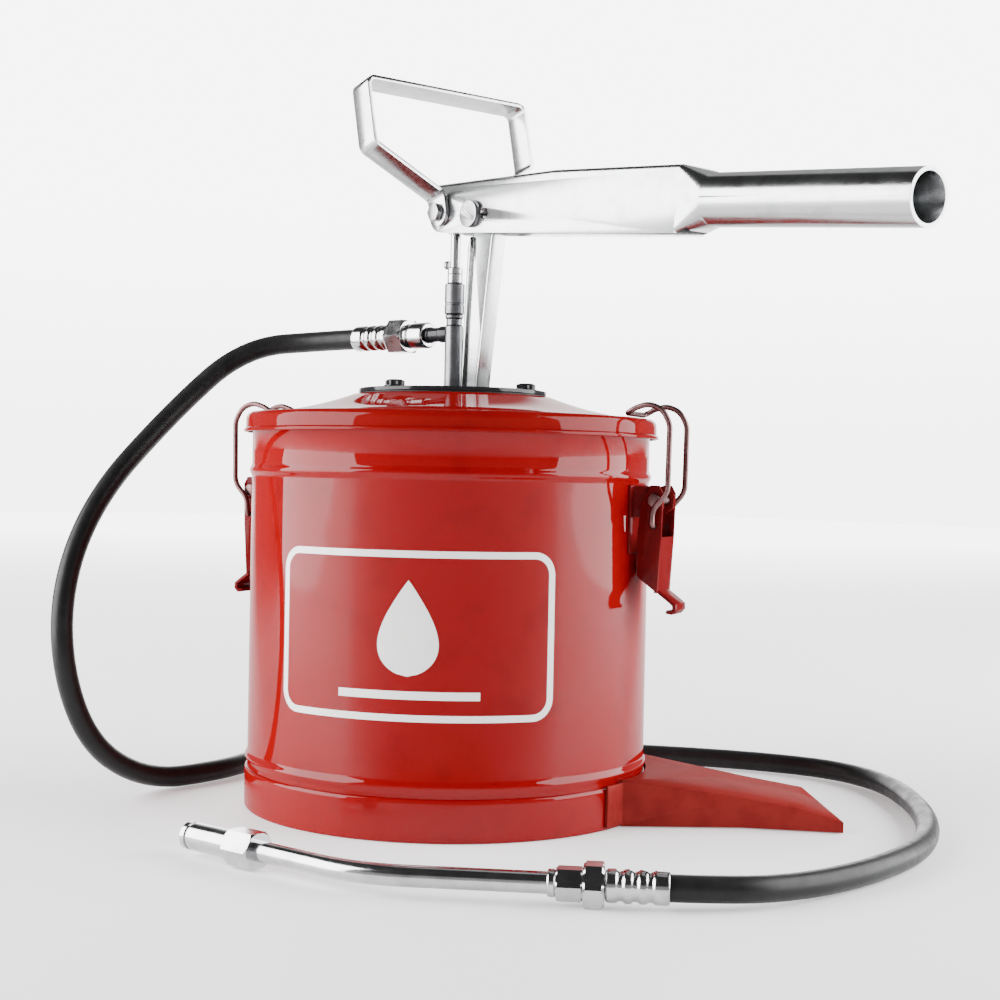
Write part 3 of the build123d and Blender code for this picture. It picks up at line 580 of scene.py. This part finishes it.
# ---------------------------------------------------------------- painted frame and drop on the pail's front
PRINT_R = PAIL_R + 0.00007
PRINT_AZIMUTH = radians(-47.5)
PRINT_LOW, PRINT_HIGH = 0.0655, 0.1580
PRINT_HALF = 0.0825
PRINT_STROKE, PRINT_CORNER = 0.0038, 0.0125
PRINT_STEP = 0.003                 # longest flat piece round the wall
DROP_FOOT, DROP_WIDTH, DROP_HEIGHT = 0.090, 0.034, 0.052
LEVEL_LOW, LEVEL_HIGH, LEVEL_HALF = 0.0775, 0.0820, 0.040


def on_wall(u, z):
    """A flat point (arc length, z) wrapped on the pail's wall."""
    angle = PRINT_AZIMUTH + u / PAIL_R
    return Vector((PRINT_R * cos(angle), PRINT_R * sin(angle), z))


def rounded_frame(half, low, high, corner, steps=10):
    """Outline of a rectangle with round corners, in short pieces."""
    out = []
    for sx, sz, first in ((1, 1, 0), (-1, 1, 90), (-1, -1, 180), (1, -1, 270)):
        cx = sx * (half - corner)
        cz = (high - corner) if sz > 0 else (low + corner)
        for k in range(steps + 1):
            a = radians(first + 90 * k / steps)
            out.append((cx + corner * cos(a), cz + corner * sin(a)))
    dense = []
    for i, here in enumerate(out):
        after = out[(i + 1) % len(out)]
        span = hypot(after[0] - here[0], after[1] - here[1])
        pieces = max(1, int(span / PRINT_STEP))
        for k in range(pieces):
            t = k / pieces
            dense.append((here[0] + (after[0] - here[0]) * t, here[1] + (after[1] - here[1]) * t))
    return dense


def printed_frame():
    outer = rounded_frame(PRINT_HALF, PRINT_LOW, PRINT_HIGH, PRINT_CORNER)
    inner = []
    count = len(outer)
    for i, (u, z) in enumerate(outer):
        before, after = outer[i - 1], outer[(i + 1) % count]
        along = Vector((after[0] - before[0], after[1] - before[1])).normalized()
        inner.append((u - along.y * PRINT_STROKE, z + along.x * PRINT_STROKE))
    vertices = [on_wall(u, z) for u, z in outer] + [on_wall(u, z) for u, z in inner]
    faces = [(i, (i + 1) % count, count + (i + 1) % count, count + i) for i in range(count)]
    return piece_from("printed_frame", vertices, faces, "pail", PRINT)


def printed_shape(name, rows, steps=12):
    """Flat mark on the wall, from rows of (z, half width)."""
    vertices, faces = [], []
    for z, half in rows:
        for k in range(steps + 1):
            vertices.append(on_wall(-half + 2 * half * k / steps, z))
    for i in range(len(rows) - 1):
        for k in range(steps):
            a = i * (steps + 1) + k
            faces.append((a, a + 1, a + steps + 2, a + steps + 1))
    return piece_from(name, vertices, faces, "pail", PRINT)


def drop_rows(steps=40):
    """Oil drop: round below, drawn up to a point."""
    rows = []
    for k in range(steps + 1):
        t = k / steps
        half = DROP_WIDTH / 2 * (sin(pi * t ** 0.62)) ** 0.92 if 0 < t < 1 else 0.00005
        rows.append((DROP_FOOT + DROP_HEIGHT * t, half))
    return rows


def level_rows(steps=4):
    rise = LEVEL_HIGH - LEVEL_LOW
    return [(LEVEL_LOW + rise * k / steps, LEVEL_HALF) for k in range(steps + 1)]


printed_frame()
printed_shape("printed_drop", drop_rows())
printed_shape("printed_level", level_rows())


# ---------------------------------------------------------------- lid bolts
BOLT_COUNT, BOLT_CIRCLE_R, FIRST_BOLT = 3, 0.046, 275
HEAD_HALF, HEAD_HEIGHT = 0.005, 0.0044


def flange_bolt_head(name, x, y):
    """Domed hexagon head on a washer."""
    low = PLATE_TOP
    corner = HEAD_HALF / cos(pi / 6)
    outline = [(0, 0), (0, HEAD_HALF * 1.30), (0.0009, HEAD_HALF * 1.30), (0.0010, HEAD_HALF * 0.98),
               (0.0013, corner), (HEAD_HEIGHT - 0.0012, corner), (HEAD_HEIGHT - 0.0003, HEAD_HALF * 0.93),
               (HEAD_HEIGHT, HEAD_HALF * 0.80), (HEAD_HEIGHT, 0)]
    vertices, faces = revolved(outline, (x, y, low), UP, 96)
    limited = []
    for v in vertices:
        dx, dy = v.x - x, v.y - y
        r, a = hypot(dx, dy), atan2(dy, dx)
        if v.z > low + 0.00095 and r > 1e-6:
            local = (a + pi / 6) % (pi / 3) - pi / 6
            keep = min(r, HEAD_HALF / cos(local))
            v = Vector((x + dx / r * keep, y + dy / r * keep, v.z))
        limited.append(v)
    return piece_from(name, limited, faces, "pail", BLACK, sharp=30)


for index in range(BOLT_COUNT):
    bolt_turn = radians(FIRST_BOLT + 360 / BOLT_COUNT * index)
    bolt_x, bolt_y = BOLT_CIRCLE_R * cos(bolt_turn), BOLT_CIRCLE_R * sin(bolt_turn)
    flange_bolt_head(f"flange_bolt_head_{index + 1}", bolt_x, bolt_y)


# ---------------------------------------------------------------- pump head
def pump_head():
    """Riser, its weld, the outlet's nipple, gland nut, bright collar and its screw, from (along, radius)."""
    riser = [(0.226, 0.0040), (0.226, 0.0055), (0.2893, 0.0055), (0.2903, 0.0047), (0.2937, 0.0047),
             (0.2945, 0.0055), (0.2960, 0.0055), (0.2960, 0.0045), (0.2974, 0.0045), (0.2974, 0.0040)]
    turned_piece("riser_tube_turned", riser, "pail", DARK, ("riser_tube",), edge=0.0003)

    weld = [(-0.0004, 0.0056), (-0.0002, 0.0084), (0.0004, 0.0080), (0.0013, 0.0066), (0.0024, 0.0056)]
    weld = [(PLATE_TOP + rise, radius) for rise, radius in weld]
    turned_piece("riser_weld", weld, "pail", DARK, edge=0.0003)

    nipple = [(0.0, 0.0024), (0.0, 0.0050), (0.0070, 0.0050), (0.0078, 0.0044), (0.0150, 0.0044),
              (0.0158, 0.0050), (0.0179, 0.0050), (0.0179, 0.0024)]
    turned_piece("outlet_nipple_turned", nipple, "pail", BLACK, ("outlet_nipple",),
                 out_at(3.0), OUT, 64, edge=0.0002)

    gland = [(0.2964, 0.0046), (0.2964, 0.0054), (0.2972, 0.0060), (0.3022, 0.0060), (0.3026, 0.0057),
             (0.3032, 0.0057), (0.3036, 0.0060), (0.3146, 0.0060), (0.3154, 0.0052), (0.3154, 0.00335),
             (0.3110, 0.00335), (0.3110, 0.0046)]
    turned_piece("gland_nut_sleeve", gland, "pail", DARK, ("gland_nut",), edge=0.0002)

    collar = [(0.3155, 0.00335), (0.3155, 0.0042), (0.3159, 0.0046), (0.3206, 0.0046), (0.3210, 0.0043),
              (0.3214, 0.0046), (0.3244, 0.0046), (0.3250, 0.0041), (0.3250, 0.00335)]
    turned_piece("gland_collar_turned", collar, "pail", CHROME, ("gland_collar",), edge=0.0001)

    screw_at = OUT * 0.0047 + UP * 0.3270
    screw = [(0, 0), (0, 0.0020), (0.0007, 0.0026), (0.0024, 0.0026), (0.0033, 0.0019), (0.0035, 0.0010),
             (0.0027, 0.0009), (0.0027, 0)]
    turned_piece("collar_screw_head", screw, "pail", FASTENER, ("collar_screw",),
                 screw_at, OUT, 40, edge=0.0002)


pump_head()


# ---------------------------------------------------------------- eased sheet metal and rod head
EASED = {
    "foot_pedal": 0.0007, "post": 0.0006, "lever_arm": 0.0006, "carry_handle": 0.0007,
    "latch_brackets": 0.0004, "latch_toggle_right": 0.0004, "latch_toggle_left": 0.0004, "latch_pins": 0.0004,
    "rod_eye": 0.0008, "pivot_bush": 0.0004, "lever_pin": 0.0010, "lever_pin_ring": 0.0001,
    "rod_bolt": 0.0005, "rod_bolt_nut": 0.0005}
for node_name, width in EASED.items():
    eased_copy(node_name, width, look=STEP_RED if node_name == "foot_pedal" else None)


# ---------------------------------------------------------------- bail wires
WIRE_RADIUS, WIRE_HALF = 1.6, 16.5
BAIL_LEG = [(134.0, 172.0), (134.0, 181.5), (143.0, 191.5), (143.6, 230.5), (139.0, 239.0), (130.5, 242.0),
            (123.0, 239.6), (117.6, 236.6)]
HOOK_HALF = 11.2                   # how far in each end reaches
WIRE_BEND_R = 0.012


def bail_wire(side_name, azimuth):
    """Wire loop over the lid's ring, hooked into its toggle; the leg's points are (radius, z) in mm."""
    turn = Matrix.Rotation(radians(azimuth), 3, "Z")
    hook_r, hook_z = BAIL_LEG[0]
    loop = [(hook_r, HOOK_HALF, hook_z)] + [(r, WIRE_HALF, z) for r, z in BAIL_LEG]
    loop += [(r, -WIRE_HALF, z) for r, z in reversed(BAIL_LEG)] + [(hook_r, -HOOK_HALF, hook_z)]
    line = arc_line([turn @ Vector(point) * MM for point in loop], WIRE_BEND_R, 9)
    node_name = f"latch_bail_{side_name}"
    return bent_wire(f"{node_name}_wire", line, WIRE_RADIUS * MM, NODE_BODY[node_name], WIRE,
                     (node_name,))


bail_wire("right", 28)
bail_wire("left", 208)


# ---------------------------------------------------------------- light and floor
BACKDROP, HORIZON = 7.0, 5.5       # brightness of the backdrop, and where the floor meets it
FIELD_EDGE, FIELD_FULL = 0.900, 0.946       # cosines between which the backdrop fades out sideways
DIM_SIDES, DIM_TOP = 0.075, 0.10   # what's left of the light beside and above the backdrop
AWAY = (-sin(VIEW_TURN), cos(VIEW_TURN), 0)
LIGHT_DISTANCE, LIGHT_HEIGHT, LIGHT_TALL = 1.35, 0.50, 1.5
FLOOR_HALF = 6.0


def seen_from_camera(azimuth, distance, height):
    """A place by its angle from the camera's side of the object, positive to the camera's right."""
    angle = VIEW_TURN - pi / 2 + radians(azimuth)
    return (distance * cos(angle), distance * sin(angle), height)


def softbox(name, azimuth, width, power):
    """Upright area light beside the object, turned to its middle."""
    light = bpy.data.lights.new(name, "AREA")
    light.shape = "RECTANGLE"
    light.size, light.size_y, light.energy = width, LIGHT_TALL, power
    holder = bpy.data.objects.new(name, light)
    holder.location = seen_from_camera(azimuth, LIGHT_DISTANCE, LIGHT_HEIGHT)
    towards = Vector((0, 0, 0.15)) - holder.location
    holder.rotation_euler = towards.to_track_quat("-Z", "Y").to_euler()
    bpy.context.scene.collection.objects.link(holder)


def vector_step(tree, operation, source, second=None):
    """One vector node on a source, with a fixed second vector where it takes one."""
    node = tree.nodes.new("ShaderNodeVectorMath")
    node.operation = operation
    if second is not None:
        node.inputs[1].default_value = second
    tree.links.new(source, node.inputs[0])
    return node.outputs["Value" if operation == "DOT_PRODUCT" else "Vector"]


def smooth_ramp(tree, source, start, end, low, high):
    """Smooth change from low to high while the source goes from start to end."""
    node = tree.nodes.new("ShaderNodeMapRange")
    node.interpolation_type = "SMOOTHSTEP"
    for socket, value in (("From Min", start), ("From Max", end), ("To Min", low), ("To Max", high)):
        node.inputs[socket].default_value = value
    tree.links.new(source, node.inputs["Value"])
    return node.outputs["Result"]


def times(tree, first, second):
    node = tree.nodes.new("ShaderNodeMath")
    node.operation = "MULTIPLY"
    tree.links.new(first, node.inputs[0])
    tree.links.new(second, node.inputs[1])
    return node.outputs[0]


def make_world():
    """Bright backdrop behind the object, dim room on the camera's side and overhead."""
    world = bpy.data.worlds.new("studio")
    world.use_nodes = True
    tree = world.node_tree
    place = tree.nodes.new("ShaderNodeTexCoord").outputs["Generated"]
    level = vector_step(tree, "NORMALIZE", vector_step(tree, "MULTIPLY", place, (1, 1, 0)))
    away = vector_step(tree, "DOT_PRODUCT", level, AWAY)
    height = tree.nodes.new("ShaderNodeSeparateXYZ")
    tree.links.new(place, height.inputs[0])
    rise = height.outputs["Z"]
    sideways = smooth_ramp(tree, away, FIELD_EDGE, FIELD_FULL, DIM_SIDES, 1.0)
    upwards = times(tree, smooth_ramp(tree, rise, 0.0, 0.16, HORIZON, BACKDROP),
                    smooth_ramp(tree, rise, 0.30, 0.44, 1.0, DIM_TOP))
    background = tree.nodes["Background"]
    background.inputs["Color"].default_value = (1, 1, 1, 1)
    tree.links.new(times(tree, sideways, upwards), background.inputs["Strength"])
    bpy.context.scene.world = world


def make_floor():
    """White floor that glows far behind the object, only inside the camera's field, up to the backdrop."""
    mesh = bpy.data.meshes.new("studio_floor")
    corners = [(-FLOOR_HALF, -FLOOR_HALF, 0), (FLOOR_HALF, -FLOOR_HALF, 0),
               (FLOOR_HALF, FLOOR_HALF, 0), (-FLOOR_HALF, FLOOR_HALF, 0)]
    mesh.from_pydata(corners, [], [(0, 1, 2, 3)])
    floor = bpy.data.objects.new("studio_floor", mesh)
    bpy.context.scene.collection.objects.link(floor)
    material, tree, shader = new_material("studio_floor")
    shader.inputs["Roughness"].default_value = 0.65
    shader.inputs["Base Color"].default_value = (0.92, 0.92, 0.92, 1)
    shader.inputs["Emission Color"].default_value = (1, 1, 1, 1)
    place = tree.nodes.new("ShaderNodeTexCoord").outputs["Object"]
    behind = vector_step(tree, "DOT_PRODUCT", place, AWAY)
    from_camera = vector_step(tree, "SUBTRACT", place, seen_from_camera(0, CAMERA_DISTANCE, 0))
    wedge = vector_step(tree, "DOT_PRODUCT", vector_step(tree, "NORMALIZE", from_camera), AWAY)
    glow = times(tree, spread(tree, behind, 0.35, HORIZON, 0.0, 4.2),
                 spread(tree, wedge, 0.0, 1.0, FIELD_EDGE, FIELD_FULL))
    tree.links.new(glow, shader.inputs["Emission Strength"])
    mesh.materials.append(material)


softbox("softbox_left", -80, 1.45, 92)
softbox("softbox_right", 88, 1.55, 84)
make_world()
make_floor()
